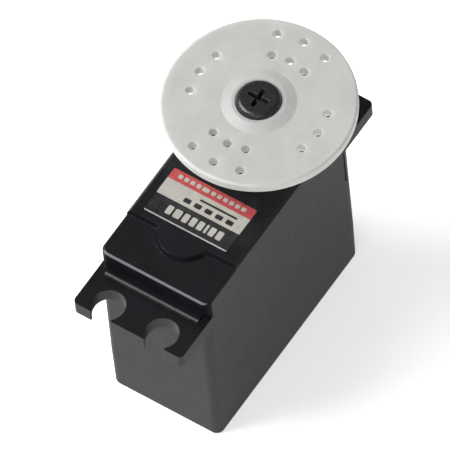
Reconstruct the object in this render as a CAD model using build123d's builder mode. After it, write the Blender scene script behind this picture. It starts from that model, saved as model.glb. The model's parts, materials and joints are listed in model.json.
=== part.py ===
from build123d import *
from math import acos, cos, pi, radians, sin, tan
import os

os.makedirs("parts", exist_ok=True)

# All lengths in millimetres, all angles in degrees.
# X runs along the case from the motor end to the output end, Y across it, Z up from the case's foot.

# ---- case ------------------------------------------------------------------------------------------
CASE_L = 33.0
CASE_W = 16.6
CASE_H = 31.4
CORNER_R = 1.2
LOWER_SEAM = 7.0
UPPER_SEAM = 28.8
BASE_INSET = 0.1
BASE_EDGE_R = 0.4
FLOOR_T = 1.2
WALL = 1.1
GEAR_WALL = 0.8
DECK_BOTTOM = 17.6
DECK_TOP = 19.2
ROOF_BOTTOM = 30.2
STEP_X = -9.5
STEP_TOP = 30.9
TOP_BEVEL = 0.42
END_SETBACK = 0.5
END_EDGE_R = 0.4
BOSS_X = -8.4
BOSS_R = 4.0
NEAR = 0.01
GROOVE_X = 15.1
GROOVE_W = 0.3
GROOVE_DEPTH = 0.15
GROOVE_LOW = 18.8
GROOVE_HIGH = 25.4

# ---- mounting tabs ---------------------------------------------------------------------------------
TAB_TIP = 22.5
TAB_TOP = 27.5
TAB_T = 2.2
TAB_CORNER_R = 0.7
TAB_ROOT_R = 1.2
HOLE_R = 2.25
HOLE_X = 20.55
HOLE_Y = 4.05
MOUTH_W = 3.05

# ---- case screws -----------------------------------------------------------------------------------
POST_X = 14.3
POST_Y = 6.1
POST_R = 1.35
CASE_SCREW_R = 0.7
CASE_SCREW_CLEAR_R = 0.85
CASE_SCREW_HEAD_R = 1.25
CASE_SCREW_HEAD_T = 0.8
CASE_SCREW_RECESS_R = 1.4
CASE_SCREW_RECESS = 0.9
CASE_SCREW_TIP = 30.4
CASE_SCREW_BORE_TOP = 30.6
SLOT_W = 0.35
SLOT_DEPTH = 0.4

# ---- shaft axes (all on the middle plane) ------------------------------------------------------------
OUTPUT_X = 9.4
IDLER_X = 1.4
MOTOR_X = -7.0

# ---- gear train --------------------------------------------------------------------------------------
PRESSURE_ANGLE = 20.0
BACKLASH = 0.07
ROOT_GAP = 0.25
SHIFT = 0.3
STAGE_1 = {"module": 0.30, "small": 12, "large": 44}
STAGE_2 = {"module": 0.32, "small": 14, "large": 36}
STAGE_3 = {"module": 0.32, "small": 12, "large": 38}
STAGE_4 = {"module": 0.40, "small": 12, "large": 28}
PINION_LOW, PINION_HIGH = 19.5, 21.2
GEAR_1_LOW, GEAR_1_MID, GEAR_1_HIGH = 19.7, 21.1, 23.2
GEAR_2_LOW, GEAR_2_MID, GEAR_2_HIGH = 21.4, 22.9, 25.4
GEAR_3_LOW, GEAR_3_MID, GEAR_3_HIGH = 23.5, 25.1, 27.9
OUTPUT_LOW, OUTPUT_HIGH = 25.8, 28.1
WEB_HOLES = 6
WEB_HOLE_R = 0.75
WEB_HOLE_RING = 4.1
IDLER_PIN_R = 0.5
RUNNING_GAP = 0.03
IDLER_PIN_LOW, IDLER_PIN_HIGH = 17.9, 30.7
IDLER_BOSS_R = 1.5
IDLER_BOSS_LOW = 28.8

# ---- output shaft, spline and stops ------------------------------------------------------------------
STUB_R = 1.0
STUB_LOW = 13.6
STUB_FLAT = 0.6
STUB_FLAT_TOP = 16.9
BEARING_SEAT_R = 3.0
SHOULDER_R = 3.4
SPLINE_TEETH = 24
SPLINE_R = 2.88
SPLINE_ROOT_R = 2.64
SPLINE_ROOT_SHARE = 0.42
SPLINE_TIP_SHARE = 0.12
SPLINE_LOW, SPLINE_HIGH = 32.1, 36.4
SPLINE_GAP = 0.03
LUG_IN, LUG_OUT, LUG_TOP = 4.3, 5.7, 28.7
LUG_HALF_ANGLE = 30.0
STOP_HALF_ANGLE = 58.0
STOP_IN, STOP_LOW = 5.1, 28.35

# ---- ball bearing ------------------------------------------------------------------------------------
BEARING_LOW, BEARING_HIGH = 29.2, 31.7
BEARING_OUT_R = 5.0
INNER_RING_R = 3.62
OUTER_RING_R = 4.38
BALL_R = 0.6
BALL_RING_R = 4.0
BALL_COUNT = 11
BALL_GAP = 0.02
CAGE_IN, CAGE_OUT = 3.74, 4.26
CAGE_HALF_H = 0.95
POCKET_GAP = 0.05
COLLAR_R = 5.9
COLLAR_TOP = 32.7
COLLAR_HOLE_R = 4.2
COLLAR_BEVEL = 0.3
HOUSING_LOW = 28.9

# ---- horn and its screw ------------------------------------------------------------------------------
HORN_R = 12.7
HORN_LOW, HORN_TOP = 37.0, 38.6
HORN_EDGE_R = 0.35
HUB_R = 4.3
HUB_LOW = 33.1
HUB_FLARE_R = 5.0
HUB_FLARE_H = 0.8
RING_R = 3.55
RING_TOP = 39.0
RING_FOOT_R = 4.9
RECESS_R = 3.05
RECESS_FLOOR = 38.0
HORN_BORE_TOP = 36.8
HORN_SCREW_HOLE_R = 1.65
LINK_HOLE_R = 0.6
LINK_HOLE_SPREAD = 20.0
LINK_RINGS_X = (7.25, 10.5)
LINK_RING_Y = 9.0
SCREW_R = 1.45
SCREW_BORE_R = 1.5
SCREW_LOW = 29.6
SCREW_BORE_LOW = 29.2
SCREW_HEAD_R = 2.9
SCREW_HEAD_TOP = 39.6
SCREW_HEAD_ROUND = 0.7
CROSS_L, CROSS_W, CROSS_DEPTH = 3.0, 0.62, 1.1
CROSS_FOOT = 0.6

# ---- label -------------------------------------------------------------------------------------------
LABEL_X = (-8.1, -0.85)
LABEL_Y = (-6.0, 6.6)
LABEL_T = 0.08
LABEL_CORNER_R = 0.25

# ---- motor -------------------------------------------------------------------------------------------
CAN_R = 6.8
CAN_WALL = 0.5
CAN_LOW = 4.6
CAN_TOP_T = 0.6
CAN_EDGE_R = 0.4
NECK_R = 2.5
NECK_HIGH = 18.6
NECK_GAP = 0.1
BUSH_R = 1.5
BUSH_LOW, BUSH_HIGH = 16.8, 18.8
REAR_BUSH_LOW, REAR_BUSH_HIGH = 4.8, 6.4
ROTOR_R = 0.75
ROTOR_LOW, ROTOR_HIGH = 5.0, 21.4
END_CAP_HIGH = 6.2
END_CAP_GAP = 0.03
MAGNET_IN, MAGNET_OUT = 5.15, 6.28
MAGNET_LOW, MAGNET_HIGH = 7.9, 15.9
MAGNET_HALF_ANGLE = 58.0
CORE_LOW, CORE_HIGH = 8.8, 14.6
CORE_HUB_R = 1.9
CORE_R = 4.8
SHOE_IN = 4.1
SHOE_HALF_ANGLE = 50.0
POLE_W = 1.2
POLES = 3
COIL_W = 3.0
COIL_IN, COIL_OUT = 2.15, 3.75
COIL_LOW, COIL_HIGH = 8.1, 15.3
COIL_GAP = 0.02
COMMUTATOR_R = 1.7
COMMUTATOR_LOW, COMMUTATOR_HIGH = 6.6, 7.75
COMMUTATOR_SLIT = 0.2
BRUSH_T = 0.18
BRUSH_GAP = 0.05
BRUSH_REACH = 1.2
BRUSH_LOW, BRUSH_HIGH = 6.75, 7.5
BRUSH_POST = 0.8
BRUSH_POST_X = -2.9
BRUSH_POST_HIGH = 7.6
TERMINAL_X = 3.9
TERMINAL_W, TERMINAL_T = 1.6, 0.3
TERMINAL_LOW = 2.3
MOTOR_SCREW_Y = 4.2
MOTOR_SCREW_R = 0.7
MOTOR_SCREW_LOW = 16.2
MOTOR_SCREW_HEAD_R = 1.3
MOTOR_SCREW_HEAD_T = 0.7
MOTOR_SCREW_SEAT = 18.4
MOTOR_SCREW_RECESS_R = 1.45

# ---- lower output bushing ----------------------------------------------------------------------------
OUT_BUSH_R = 1.8
OUT_BUSH_FLANGE_R = 2.4
OUT_BUSH_FLANGE_T = 0.25

# ---- potentiometer -----------------------------------------------------------------------------------
POT_R = 5.2
POT_WALL = 0.6
POT_LOW, POT_HIGH = 11.0, 16.6
POT_NECK_R = 2.9
POT_NECK_BORE = 2.1
POT_ROOF_T = 0.6
TRACK_T = 0.8
POT_HUB_R = 1.9
POT_HUB_LOW, POT_HUB_HIGH = 12.3, 16.9
WIPER_R = 4.1
WIPER_LOW, WIPER_HIGH = 12.5, 13.1
POT_PIN_Y = (-2.5, 0.0, 2.5)
POT_PIN_X = (2.6, 5.6)
POT_PIN_W, POT_PIN_T = 0.9, 0.3

# ---- control board -----------------------------------------------------------------------------------
BOARD_L, BOARD_W = 30.0, 13.8
BOARD_LOW, BOARD_HIGH = 2.6, 3.4
BOARD_NOTCH_R = 1.6
RIB_W = 0.8
RIB_X = (-5.0, 7.5)
CHIP_POS = (8.6, -1.6)
CHIP_L, CHIP_W, CHIP_T = 5.0, 4.0, 1.3
CHIP_PINS = 5
CHIP_PIN_PITCH, CHIP_PIN_W, CHIP_PIN_REACH, CHIP_PIN_T = 0.95, 0.4, 1.0, 0.5
DRIVER_POS = ((-8.2, 3.9), (-8.2, -3.9), (0.2, 0.0))
DRIVER_L, DRIVER_W, DRIVER_T = 4.4, 3.6, 1.1
PASSIVE_POS = ((5.6, 4.6), (8.0, 4.6), (10.4, 4.6), (12.9, -3.4), (12.9, -1.4), (6.0, -5.6), (9.0, -5.6))
PASSIVE_L, PASSIVE_W, PASSIVE_T = 1.6, 0.85, 0.6
CAPACITOR_POS = (12.6, 2.6)
CAPACITOR_L, CAPACITOR_W, CAPACITOR_T = 2.2, 3.4, 1.9
LEAD_R = 0.38
LEAD_BEND_R = 0.8
LEAD_FOOT_X = 3.1
LEAD_OUT_X = 2.0

# ---- cable grommet (inlet only) ----------------------------------------------------------------------
GROMMET_W, GROMMET_LOW = 5.4, 4.2
GROMMET_PROUD = 1.0
GROMMET_INSIDE = 0.8
GROMMET_LIP = 0.5
GROMMET_SLOT_W, GROMMET_SLOT_H = 3.9, 1.35
GROMMET_SLOT_Z = 5.6
GROMMET_EDGE_R = 0.5

POSTS = [(sx * POST_X, sy * POST_Y) for sx in (-1, 1) for sy in (-1, 1)]
RIGHT_ANGLE = 90.0
HALF_TURN = 180.0


def polar(radius, angle):
    """Point at a radius and an angle in degrees."""
    return (radius * cos(radians(angle)), radius * sin(radians(angle)))


def gear_numbers(stage, size):
    """Pitch, tip, root and base radius and half tooth angle of one gear of a stage."""
    module = stage["module"]
    teeth = stage[size]
    shift = SHIFT if size == "small" else -SHIFT
    pressure = radians(PRESSURE_ANGLE)
    pitch = module * teeth / 2
    thickness = module * (pi / 2 + 2 * shift * tan(pressure)) - BACKLASH / 2
    return {
        "teeth": teeth,
        "pitch": pitch,
        "tip": pitch + module * (1 + shift),
        "root": pitch - module * (1 + ROOT_GAP - shift),
        "base": pitch * cos(pressure),
        "half": thickness / (2 * pitch),
    }


def flank_point(gear, radius, centre, side):
    """Point on the involute flank of the tooth centred at the angle centre."""
    pressure = radians(PRESSURE_ANGLE)
    local = acos(min(1.0, gear["base"] / radius))
    spread = gear["half"] + (tan(pressure) - pressure) - (tan(local) - local)
    return polar(radius, centre + side * spread * HALF_TURN / pi)


def gear_outline(stage, size, tooth_at):
    """Closed involute outline with one tooth centred at the angle tooth_at."""
    gear = gear_numbers(stage, size)
    step = 2 * HALF_TURN / gear["teeth"]
    foot = max(gear["root"], gear["base"])
    middle = (foot + gear["tip"]) / 2
    for index in range(gear["teeth"]):
        centre = tooth_at + index * step
        rising = [flank_point(gear, r, centre, -1) for r in (foot, middle, gear["tip"])]
        falling = [flank_point(gear, r, centre, 1) for r in (gear["tip"], middle, foot)]
        spread = gear["half"] + tan(radians(PRESSURE_ANGLE)) - radians(PRESSURE_ANGLE)
        if gear["root"] > gear["base"]:
            local = acos(gear["base"] / gear["root"])
            spread -= tan(local) - local
        spread *= HALF_TURN / pi
        low = polar(gear["root"], centre - spread)
        high = polar(gear["root"], centre + spread)
        following = polar(gear["root"], centre + step - spread)
        if gear["root"] < gear["base"]:
            Line(low, rising[0])
            Line(falling[-1], high)
        ThreePointArc(*rising)
        ThreePointArc(rising[-1], polar(gear["tip"], centre), falling[0])
        ThreePointArc(*falling)
        ThreePointArc(high, polar(gear["root"], centre + step / 2), following)


def gear_sketch(x, z, stage, size, tooth_at):
    """Toothed disc sketch on the axis at x, at height z."""
    with BuildSketch(Plane.XY.offset(z)) as sketch:
        with BuildLine():
            gear_outline(stage, size, tooth_at)
        make_face()
    return Pos(x, 0, 0) * sketch.sketch


def facing(stage, size, mate_angle):
    """Angle of a tooth centre: small gears point a tooth at the mate, large gears a space."""
    if size == "small":
        return mate_angle
    return mate_angle + HALF_TURN / stage[size]


def spline_points(growth):
    """Closed outline of the splined shaft, grown outwards by growth."""
    step = 2 * HALF_TURN / SPLINE_TEETH
    points = []
    for index in range(SPLINE_TEETH):
        centre = index * step
        points.append(polar(SPLINE_ROOT_R + growth, centre - step * SPLINE_ROOT_SHARE))
        points.append(polar(SPLINE_R + growth, centre - step * SPLINE_TIP_SHARE))
        points.append(polar(SPLINE_R + growth, centre + step * SPLINE_TIP_SHARE))
        points.append(polar(SPLINE_ROOT_R + growth, centre + step * SPLINE_ROOT_SHARE))
    return points


def sector(x, inner, outer, middle_angle, half_angle):
    """Ring sector sketch about the axis at x, in the XY plane."""
    low = middle_angle - half_angle
    high = middle_angle + half_angle
    with BuildSketch() as sketch:
        with BuildLine():
            ThreePointArc(polar(outer, low), polar(outer, middle_angle), polar(outer, high))
            Line(polar(outer, high), polar(inner, high))
            ThreePointArc(polar(inner, high), polar(inner, middle_angle), polar(inner, low))
            Line(polar(inner, low), polar(outer, low))
        make_face()
    return Pos(x, 0, 0) * sketch.sketch


def save(piece, name):
    """Label a finished piece and write its STEP file."""
    piece.part.label = name
    export_step(piece.part, f"parts/{name}.step")


# ======================================================================================================
# Case
# ======================================================================================================

def upper_outline(inset, radius):
    """Outline of the case above the tabs, where the motor end is set back."""
    with Locations((END_SETBACK / 2, 0)):
        RectangleRounded(CASE_L - END_SETBACK - 2 * inset, CASE_W - 2 * inset, radius)


with BuildPart() as bottom_case:
    # Shell, slightly drafted towards the foot.
    with BuildSketch(Plane.XY.offset(LOWER_SEAM)):
        RectangleRounded(CASE_L, CASE_W, CORNER_R)
    with BuildSketch():
        RectangleRounded(CASE_L - 2 * BASE_INSET, CASE_W - 2 * BASE_INSET, CORNER_R - BASE_INSET)
    loft()
    fillet(bottom_case.edges().group_by(Axis.Z)[0], BASE_EDGE_R)
    # Cavity.
    with BuildSketch(Plane.XY.offset(FLOOR_T)):
        RectangleRounded(CASE_L - 2 * WALL - 2 * BASE_INSET, CASE_W - 2 * WALL - 2 * BASE_INSET, CORNER_R / 2)
    extrude(amount=LOWER_SEAM - FLOOR_T, mode=Mode.SUBTRACT)
    # Screw posts and the ribs that carry the board.
    with BuildSketch(Plane.XY.offset(FLOOR_T)):
        with Locations(*POSTS):
            Circle(POST_R)
    extrude(amount=LOWER_SEAM - FLOOR_T)
    with BuildSketch(Plane.XY.offset(FLOOR_T)):
        with Locations(*[(x, sy * (CASE_W / 2 - WALL - BASE_INSET)) for x in RIB_X for sy in (-1, 1)]):
            Rectangle(RIB_W, 2 * RIB_W)
    extrude(amount=BOARD_LOW - FLOOR_T)
    # Screw holes with flat-bottomed head recesses.
    with BuildSketch():
        with Locations(*POSTS):
            Circle(CASE_SCREW_CLEAR_R)
    extrude(amount=LOWER_SEAM, mode=Mode.SUBTRACT)
    with BuildSketch():
        with Locations(*POSTS):
            Circle(CASE_SCREW_RECESS_R)
    extrude(amount=CASE_SCREW_RECESS, mode=Mode.SUBTRACT)
    # Notch for the cable grommet, open at the seam.
    with Locations((CASE_L / 2 - WALL, 0, GROMMET_LOW)):
        Box(2 * WALL + GROMMET_PROUD, GROMMET_W, LOWER_SEAM, align=(Align.CENTER, Align.CENTER, Align.MIN),
            mode=Mode.SUBTRACT)
save(bottom_case, "bottom_case")

with BuildPart() as middle_case:
    # Body, set back above the tabs at the motor end, and the two tabs.
    with BuildSketch(Plane.XY.offset(LOWER_SEAM)):
        RectangleRounded(CASE_L, CASE_W, CORNER_R)
    extrude(amount=TAB_TOP - LOWER_SEAM)
    with BuildSketch(Plane.XY.offset(TAB_TOP)):
        upper_outline(0, CORNER_R)
    extrude(amount=UPPER_SEAM - TAB_TOP)
    with BuildSketch(Plane.XY.offset(TAB_TOP)) as tabs:
        Rectangle(2 * TAB_TIP, CASE_W)
        fillet(tabs.vertices(), TAB_CORNER_R)
    extrude(amount=-TAB_T)
    # Concave fillet where each tab's top meets the end wall.
    for side, wall_x in ((-1, END_SETBACK - CASE_L / 2), (1, CASE_L / 2)):
        with BuildSketch(Plane.XZ.offset(CORNER_R - CASE_W / 2)):
            with BuildLine():
                Line((wall_x, TAB_TOP), (wall_x + side * TAB_ROOT_R, TAB_TOP))
                RadiusArc(
                    (wall_x + side * TAB_ROOT_R, TAB_TOP),
                    (wall_x, TAB_TOP + TAB_ROOT_R),
                    side * TAB_ROOT_R,
                )
                Line((wall_x, TAB_TOP + TAB_ROOT_R), (wall_x, TAB_TOP))
            make_face()
        extrude(amount=CASE_W - 2 * CORNER_R)
    # End-open keyhole slots.
    with BuildSketch(Plane.XY.offset(TAB_TOP)):
        with Locations(*[(sx * HOLE_X, sy * HOLE_Y) for sx in (-1, 1) for sy in (-1, 1)]):
            Circle(HOLE_R)
        with Locations(*[(sx * (HOLE_X + HOLE_R), sy * HOLE_Y) for sx in (-1, 1) for sy in (-1, 1)]):
            Rectangle(2 * HOLE_R, MOUTH_W)
    extrude(amount=-TAB_T, mode=Mode.SUBTRACT)
    # Motor chamber below the deck, gear chamber above it.
    with BuildSketch(Plane.XY.offset(LOWER_SEAM)):
        RectangleRounded(CASE_L - 2 * WALL, CASE_W - 2 * WALL, CORNER_R / 2)
    extrude(amount=DECK_BOTTOM - LOWER_SEAM, mode=Mode.SUBTRACT)
    with BuildSketch(Plane.XY.offset(DECK_TOP)):
        RectangleRounded(CASE_L - 2 * GEAR_WALL, CASE_W - 2 * GEAR_WALL, CORNER_R / 2)
    extrude(amount=TAB_TOP - GEAR_WALL - DECK_TOP, mode=Mode.SUBTRACT)
    with BuildSketch(Plane.XY.offset(TAB_TOP - GEAR_WALL)):
        upper_outline(GEAR_WALL, CORNER_R / 2)
    extrude(amount=UPPER_SEAM - TAB_TOP + GEAR_WALL, mode=Mode.SUBTRACT)
    # Screw posts, kept inside the walls.
    with BuildSketch(Plane.XY.offset(LOWER_SEAM)):
        with Locations(*POSTS):
            Circle(POST_R)
    extrude(amount=UPPER_SEAM - LOWER_SEAM)
    with BuildSketch(Plane.XY.offset(LOWER_SEAM)):
        with Locations(*POSTS):
            Circle(CASE_SCREW_CLEAR_R)
    extrude(amount=UPPER_SEAM - LOWER_SEAM, mode=Mode.SUBTRACT)
    # Deck openings: motor neck, motor screws, output bushing, idler pin.
    with BuildSketch(Plane.XY.offset(DECK_BOTTOM)):
        with Locations((MOTOR_X, 0)):
            Circle(NECK_R + NECK_GAP)
        with Locations((MOTOR_X, MOTOR_SCREW_Y), (MOTOR_X, -MOTOR_SCREW_Y)):
            Circle(CASE_SCREW_CLEAR_R)
        with Locations((OUTPUT_X, 0)):
            Circle(OUT_BUSH_R)
    extrude(amount=DECK_TOP - DECK_BOTTOM, mode=Mode.SUBTRACT)
    with BuildSketch(Plane.XY.offset(DECK_TOP)):
        with Locations((MOTOR_X, MOTOR_SCREW_Y), (MOTOR_X, -MOTOR_SCREW_Y)):
            Circle(MOTOR_SCREW_RECESS_R)
    extrude(amount=MOTOR_SCREW_SEAT - DECK_TOP, mode=Mode.SUBTRACT)
    with BuildSketch(Plane.XY.offset(IDLER_PIN_LOW)):
        with Locations((IDLER_X, 0)):
            Circle(IDLER_PIN_R)
    extrude(amount=DECK_TOP - IDLER_PIN_LOW, mode=Mode.SUBTRACT)
    # Short upright grooves near the output end of both long sides.
    with Locations(*[(GROOVE_X, sy * CASE_W / 2, (GROOVE_LOW + GROOVE_HIGH) / 2) for sy in (-1, 1)]):
        Box(GROOVE_W, 2 * GROOVE_DEPTH, GROOVE_HIGH - GROOVE_LOW, mode=Mode.SUBTRACT)
save(middle_case, "middle_case")

with BuildPart() as top_case:
    # Lower plateau over the motor end, and the crown with its round boss over the rest.
    with BuildSketch(Plane.XY.offset(UPPER_SEAM)):
        upper_outline(0, CORNER_R)
    extrude(amount=STEP_TOP - UPPER_SEAM)
    with BuildSketch(Plane.XY.offset(STEP_TOP)) as crown:
        with Locations((CASE_L / 2, 0)):
            Rectangle(CASE_L / 2 - STEP_X, CASE_W, align=(Align.MAX, Align.CENTER))
        fillet(crown.vertices().group_by(Axis.X)[-1], CORNER_R)
        with Locations((BOSS_X, 0)):
            Circle(BOSS_R)
    extrude(amount=CASE_H - STEP_TOP)
    chamfer(top_case.edges().group_by(Axis.Z)[-1], TOP_BEVEL)
    end_edge = top_case.edges().filter_by(
        lambda e: abs(e.center().Z - STEP_TOP) < NEAR and e.center().X < END_SETBACK + NEAR - CASE_L / 2
    )
    fillet(end_edge, END_EDGE_R)
    # Collar that holds the bearing.
    with BuildSketch(Plane.XY.offset(CASE_H)):
        with Locations((OUTPUT_X, 0)):
            Circle(COLLAR_R)
    extrude(amount=COLLAR_TOP - CASE_H)
    chamfer(top_case.edges().group_by(Axis.Z)[-1], COLLAR_BEVEL)
    # Gear space under the roof.
    with BuildSketch(Plane.XY.offset(UPPER_SEAM)):
        upper_outline(GEAR_WALL, CORNER_R / 2)
    extrude(amount=ROOF_BOTTOM - UPPER_SEAM, mode=Mode.SUBTRACT)
    # Screw posts, bearing housing, idler pin boss.
    with BuildSketch(Plane.XY.offset(UPPER_SEAM)):
        with Locations(*POSTS):
            Circle(POST_R)
    extrude(amount=ROOF_BOTTOM - UPPER_SEAM)
    with BuildSketch(Plane.XY.offset(HOUSING_LOW)):
        with Locations((OUTPUT_X, 0)):
            Circle(COLLAR_R)
    extrude(amount=ROOF_BOTTOM - HOUSING_LOW)
    with BuildSketch(Plane.XY.offset(IDLER_BOSS_LOW)):
        with Locations((IDLER_X, 0)):
            Circle(IDLER_BOSS_R)
    extrude(amount=ROOF_BOTTOM - IDLER_BOSS_LOW)
    # Bearing seat and the hole above it.
    with BuildSketch(Plane.XY.offset(HOUSING_LOW)):
        with Locations((OUTPUT_X, 0)):
            Circle(BEARING_OUT_R)
    extrude(amount=BEARING_HIGH - HOUSING_LOW, mode=Mode.SUBTRACT)
    with BuildSketch(Plane.XY.offset(BEARING_HIGH)):
        with Locations((OUTPUT_X, 0)):
            Circle(COLLAR_HOLE_R)
    extrude(amount=COLLAR_TOP - BEARING_HIGH, mode=Mode.SUBTRACT)
    # End stop for the output gear, hanging from the housing.
    add(extrude(Pos(0, 0, STOP_LOW) * sector(OUTPUT_X, STOP_IN, COLLAR_R, 0, STOP_HALF_ANGLE),
                amount=HOUSING_LOW - STOP_LOW, mode=Mode.PRIVATE))
    # Blind holes for the idler pin and the case screws.
    with BuildSketch(Plane.XY.offset(IDLER_BOSS_LOW)):
        with Locations((IDLER_X, 0)):
            Circle(IDLER_PIN_R)
    extrude(amount=IDLER_PIN_HIGH - IDLER_BOSS_LOW, mode=Mode.SUBTRACT)
    with BuildSketch(Plane.XY.offset(UPPER_SEAM)):
        with Locations(*POSTS):
            Circle(CASE_SCREW_R)
    extrude(amount=CASE_SCREW_BORE_TOP - UPPER_SEAM, mode=Mode.SUBTRACT)
save(top_case, "top_case")

with BuildPart() as case_screws:
    with BuildSketch(Plane.XY.offset(CASE_SCREW_RECESS)):
        with Locations(*POSTS):
            Circle(CASE_SCREW_R)
    extrude(amount=CASE_SCREW_TIP - CASE_SCREW_RECESS)
    with BuildSketch(Plane.XY.offset(CASE_SCREW_RECESS)):
        with Locations(*POSTS):
            Circle(CASE_SCREW_HEAD_R)
    extrude(amount=-CASE_SCREW_HEAD_T)
    chamfer(case_screws.edges().group_by(Axis.Z)[-1], CASE_SCREW_R / 2)
    with BuildSketch(Plane.XY.offset(CASE_SCREW_RECESS - CASE_SCREW_HEAD_T)):
        with Locations(*POSTS):
            Rectangle(2 * CASE_SCREW_R, SLOT_W)
            Rectangle(SLOT_W, 2 * CASE_SCREW_R)
    extrude(amount=SLOT_DEPTH, mode=Mode.SUBTRACT)
save(case_screws, "case_screws")

with BuildPart() as label:
    with BuildSketch(Plane.XY.offset(CASE_H)):
        with Locations((sum(LABEL_X) / 2, sum(LABEL_Y) / 2)):
            RectangleRounded(LABEL_X[1] - LABEL_X[0], LABEL_Y[1] - LABEL_Y[0], LABEL_CORNER_R)
    extrude(amount=LABEL_T)
save(label, "label")

# ======================================================================================================
# Motor
# ======================================================================================================

with BuildPart() as motor_can:
    with BuildSketch(Plane.XY.offset(CAN_LOW)):
        with Locations((MOTOR_X, 0)):
            Circle(CAN_R)
    extrude(amount=DECK_BOTTOM - CAN_LOW)
    fillet(motor_can.edges().group_by(Axis.Z)[-1], CAN_EDGE_R)
    with BuildSketch(Plane.XY.offset(DECK_BOTTOM)):
        with Locations((MOTOR_X, 0)):
            Circle(NECK_R)
    extrude(amount=NECK_HIGH - DECK_BOTTOM)
    with BuildSketch(Plane.XY.offset(CAN_LOW)):
        with Locations((MOTOR_X, 0)):
            Circle(CAN_R - CAN_WALL)
    extrude(amount=DECK_BOTTOM - CAN_TOP_T - CAN_LOW, mode=Mode.SUBTRACT)
    with BuildSketch(Plane.XY.offset(BUSH_LOW)):
        with Locations((MOTOR_X, 0)):
            Circle(BUSH_R)
        with Locations((MOTOR_X, MOTOR_SCREW_Y), (MOTOR_X, -MOTOR_SCREW_Y)):
            Circle(MOTOR_SCREW_R)
    extrude(amount=NECK_HIGH - BUSH_LOW, mode=Mode.SUBTRACT)
save(motor_can, "motor_can")

with BuildPart() as motor_magnets:
    for middle in (0.0, HALF_TURN):
        add(extrude(Pos(0, 0, MAGNET_LOW) * sector(MOTOR_X, MAGNET_IN, MAGNET_OUT, middle, MAGNET_HALF_ANGLE),
                    amount=MAGNET_HIGH - MAGNET_LOW, mode=Mode.PRIVATE))
save(motor_magnets, "motor_magnets")

with BuildPart() as motor_end_cap:
    with BuildSketch(Plane.XY.offset(CAN_LOW)):
        with Locations((MOTOR_X, 0)):
            Circle(CAN_R - CAN_WALL - END_CAP_GAP)
    extrude(amount=END_CAP_HIGH - CAN_LOW)
    with BuildSketch(Plane.XY.offset(END_CAP_HIGH)):
        brush_y = COMMUTATOR_R + BRUSH_GAP + BRUSH_T / 2
        with Locations(*[(MOTOR_X + BRUSH_POST_X, sy * brush_y) for sy in (-1, 1)]):
            Rectangle(BRUSH_POST, BRUSH_POST)
        with Locations((MOTOR_X, 0)):
            Circle(BUSH_R + CAN_WALL)
    extrude(amount=REAR_BUSH_HIGH - END_CAP_HIGH)
    with BuildSketch(Plane.XY.offset(END_CAP_HIGH)):
        brush_y = COMMUTATOR_R + BRUSH_GAP + BRUSH_T / 2
        with Locations(*[(MOTOR_X + BRUSH_POST_X, sy * brush_y) for sy in (-1, 1)]):
            Rectangle(BRUSH_POST, BRUSH_POST)
    extrude(amount=BRUSH_POST_HIGH - END_CAP_HIGH)
    with BuildSketch(Plane.XY.offset(REAR_BUSH_LOW)):
        with Locations((MOTOR_X, 0)):
            Circle(BUSH_R)
    extrude(amount=REAR_BUSH_HIGH - REAR_BUSH_LOW, mode=Mode.SUBTRACT)
    # Slits that hold the brush roots and the terminals.
    with Locations(*[(MOTOR_X + BRUSH_POST_X, sy * (COMMUTATOR_R + BRUSH_GAP + BRUSH_T / 2), END_CAP_HIGH)
                     for sy in (-1, 1)]):
        Box(BRUSH_POST, BRUSH_T, BRUSH_POST_HIGH - END_CAP_HIGH,
            align=(Align.CENTER, Align.CENTER, Align.MIN), mode=Mode.SUBTRACT)
    with Locations((MOTOR_X - TERMINAL_X, 0, CAN_LOW), (MOTOR_X + TERMINAL_X, 0, CAN_LOW)):
        Box(
            TERMINAL_T,
            TERMINAL_W,
            CAN_WALL,
            align=(Align.CENTER, Align.CENTER, Align.MIN),
            mode=Mode.SUBTRACT,
        )
save(motor_end_cap, "motor_end_cap")

with BuildPart() as motor_bushings:
    with BuildSketch(Plane.XY.offset(BUSH_LOW)):
        with Locations((MOTOR_X, 0)):
            Circle(BUSH_R)
            Circle(ROTOR_R + RUNNING_GAP, mode=Mode.SUBTRACT)
    extrude(amount=BUSH_HIGH - BUSH_LOW)
    with BuildSketch(Plane.XY.offset(REAR_BUSH_LOW)):
        with Locations((MOTOR_X, 0)):
            Circle(BUSH_R)
            Circle(ROTOR_R + RUNNING_GAP, mode=Mode.SUBTRACT)
    extrude(amount=REAR_BUSH_HIGH - REAR_BUSH_LOW)
save(motor_bushings, "motor_bushings")

with BuildPart() as motor_terminals:
    with Locations((MOTOR_X - TERMINAL_X, 0, TERMINAL_LOW), (MOTOR_X + TERMINAL_X, 0, TERMINAL_LOW)):
        Box(
            TERMINAL_T,
            TERMINAL_W,
            CAN_LOW + CAN_WALL - TERMINAL_LOW,
            align=(Align.CENTER, Align.CENTER, Align.MIN),
        )
save(motor_terminals, "motor_terminals")

with BuildPart() as motor_brushes:
    for side in (-1, 1):
        with Locations((MOTOR_X + BRUSH_POST_X, side * (COMMUTATOR_R + BRUSH_GAP + BRUSH_T / 2), BRUSH_LOW)):
            Box(BRUSH_REACH - BRUSH_POST_X, BRUSH_T, BRUSH_HIGH - BRUSH_LOW,
                align=(Align.MIN, Align.CENTER, Align.MIN))
save(motor_brushes, "motor_brushes")

with BuildPart() as rotor_shaft:
    with BuildSketch(Plane.XY.offset(ROTOR_LOW)):
        with Locations((MOTOR_X, 0)):
            Circle(ROTOR_R)
    extrude(amount=ROTOR_HIGH - ROTOR_LOW)
    chamfer(rotor_shaft.edges().group_by(Axis.Z)[-1], ROTOR_R / 4)
    chamfer(rotor_shaft.edges().group_by(Axis.Z)[0], ROTOR_R / 4)
save(rotor_shaft, "rotor_shaft")

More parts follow.
